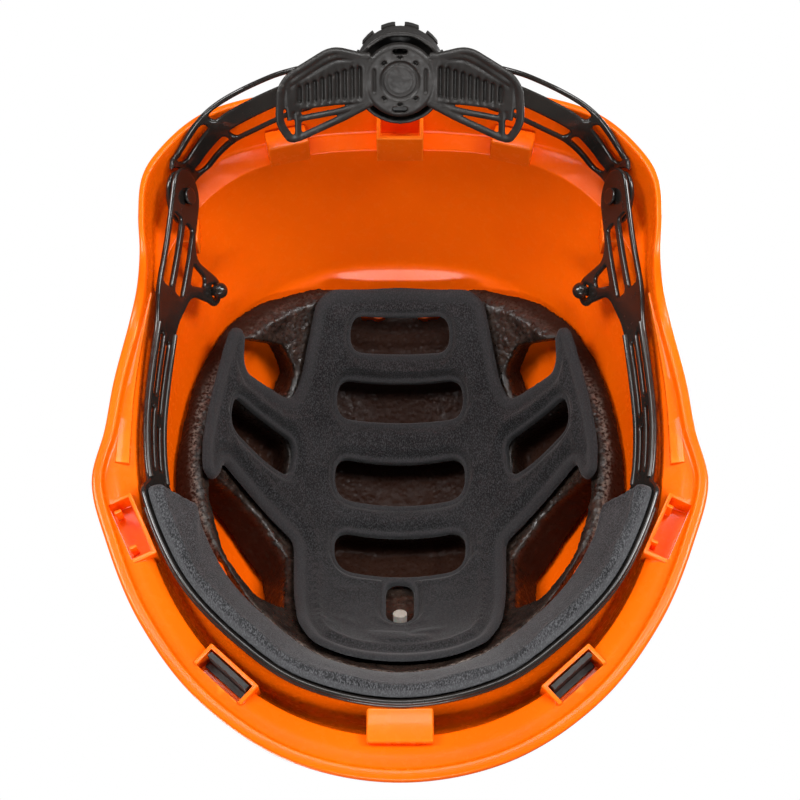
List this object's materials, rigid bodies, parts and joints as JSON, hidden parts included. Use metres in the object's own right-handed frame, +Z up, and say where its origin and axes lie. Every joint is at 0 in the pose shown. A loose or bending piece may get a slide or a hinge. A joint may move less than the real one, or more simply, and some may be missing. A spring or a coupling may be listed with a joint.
{
  "type": "arborist helmet",
  "caption": "Hard-shell climbing helmet with brim and rear skirt, foam liner, slotted crown pad, brow pad, headband and a pivoting nape cradle with a size knob.",
  "frame": {"origin": "centre of the head opening, on the plane of the brim's lower edge", "axes": "-Y to the front of the helmet, +X to the wearer's left, +Z up through the crown"},
  "size_m": [0.226, 0.2776, 0.2],
  "materials": {
    "shell_plastic": "glossy moulded orange",
    "liner_foam": "beaded expanded foam with a slight sheen",
    "pad_fabric": "brushed black fabric over foam",
    "loop_fabric": "hook and loop tape",
    "gloss_black_plastic": "glossy black nylon",
    "matt_black_plastic": "satin black nylon",
    "pale_nylon": "pale moulded nylon",
    "screw_steel": "plain steel"
  },
  "bodies": {
    "helmet": {"shell": "shell_plastic", "impact_liner": "liner_foam", "crown_pad": "pad_fabric", "grip_patch_1": "loop_fabric", "grip_patch_2": "loop_fabric", "grip_patch_3": "loop_fabric", "grip_patch_4": "loop_fabric", "grip_patch_5": "loop_fabric", "pad_pin": "pale_nylon", "brow_pad": "pad_fabric", "headband": "gloss_black_plastic", "front_plug": "gloss_black_plastic", "hanger_stud_left": "gloss_black_plastic", "hanger_stud_right": "gloss_black_plastic", "lamp_clip_left": "matt_black_plastic", "lamp_clip_right": "matt_black_plastic", "pivot_rivet_left": "gloss_black_plastic", "pivot_rivet_right": "gloss_black_plastic"},
    "rear_straps": {"rear_strap_left": "gloss_black_plastic", "rear_strap_right": "gloss_black_plastic"},
    "nape_device": {"nape_cradle": "matt_black_plastic", "cradle_cap": "matt_black_plastic", "knob_housing": "matt_black_plastic", "ratchet_ring": "matt_black_plastic"},
    "knob": {"size_knob": "matt_black_plastic", "pinion": "matt_black_plastic", "ratchet_pawl": "matt_black_plastic", "pinion_screw": "screw_steel"},
    "left_rack": {"rack_left": "matt_black_plastic"},
    "right_rack": {"rack_right": "matt_black_plastic"}
  },
  "joints": [
    {"name": "nape_tilt", "type": "hinge", "parent": "helmet", "child": "rear_straps", "pos_m": [0, 0.087, -0.004], "axis": [1, 0, 0], "range_deg": [-30, 1], "deforming": ["rear_strap_left", "rear_strap_right"]},
    {"name": "size_adjust", "type": "slide", "parent": "rear_straps", "child": "nape_device", "axis": [0, -1, 0], "range_m": [-0.006, 0.016], "deforming": ["rear_strap_left", "rear_strap_right"]},
    {"name": "knob_turn", "type": "hinge", "parent": "nape_device", "child": "knob", "pos_m": [0, 0.109, -0.05], "axis": [0, -0.766, -0.6428], "range_deg": [-90, 232]},
    {"name": "left_rack_slide", "type": "slide", "parent": "nape_device", "child": "left_rack", "axis": [-1, 0, 0], "range_m": [-0.0062, 0.0162]},
    {"name": "right_rack_slide", "type": "slide", "parent": "nape_device", "child": "right_rack", "axis": [1, 0, 0], "range_m": [-0.0062, 0.0162]}
  ],
  "couplings": [
    {"joint": "knob_turn", "follows": "size_adjust", "rad_per_m": 250},
    {"joint": "left_rack_slide", "follows": "size_adjust", "ratio": 1},
    {"joint": "right_rack_slide", "follows": "size_adjust", "ratio": 1}
  ]
}
